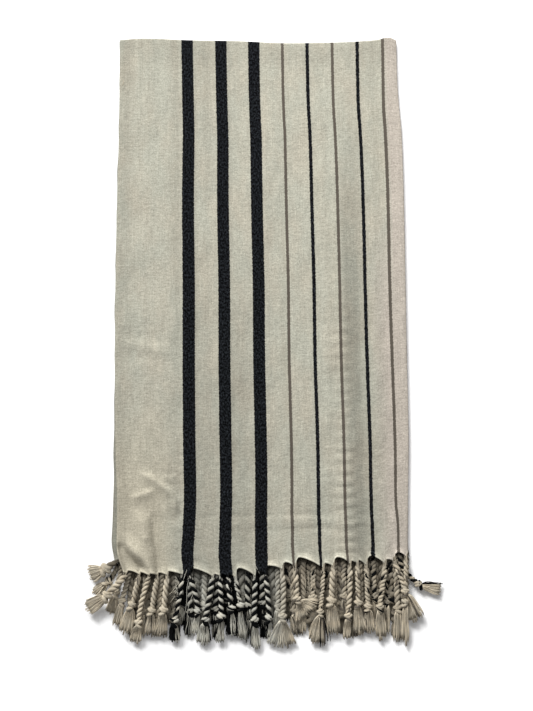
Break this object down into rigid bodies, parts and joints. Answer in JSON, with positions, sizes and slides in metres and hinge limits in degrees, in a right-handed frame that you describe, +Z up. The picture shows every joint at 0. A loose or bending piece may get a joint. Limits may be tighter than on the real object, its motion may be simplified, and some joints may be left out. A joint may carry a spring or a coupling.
{
  "type": "fouta towel",
  "caption": "Flat-woven cotton towel with warp stripes and knotted two-ply fringes, folded in four and lying flat.",
  "frame": {"origin": "middle of the folded cloth's flat underside, on the surface that it lies on", "axes": "+X from the selvedges to the lengthwise fold, +Y from the fringes to the crosswise fold, +Z up"},
  "size_m": [0.6028, 1.0631, 0.0202],
  "materials": {
    "woven_cloth": "plain-woven ecru cotton with black and brown warp stripes, matt with a faint sheen",
    "fringe_yarn": "twisted two-ply cotton cords with knots and loose brushes, matt"
  },
  "bodies": {
    "root": {"outer_cloth": "woven_cloth", "inner_layers": "woven_cloth", "fringe_front": "fringe_yarn", "fringe_front_inner": "fringe_yarn", "fringe_back_inner": "fringe_yarn", "fringe_back": "fringe_yarn"}
  },
  "joints": []
}
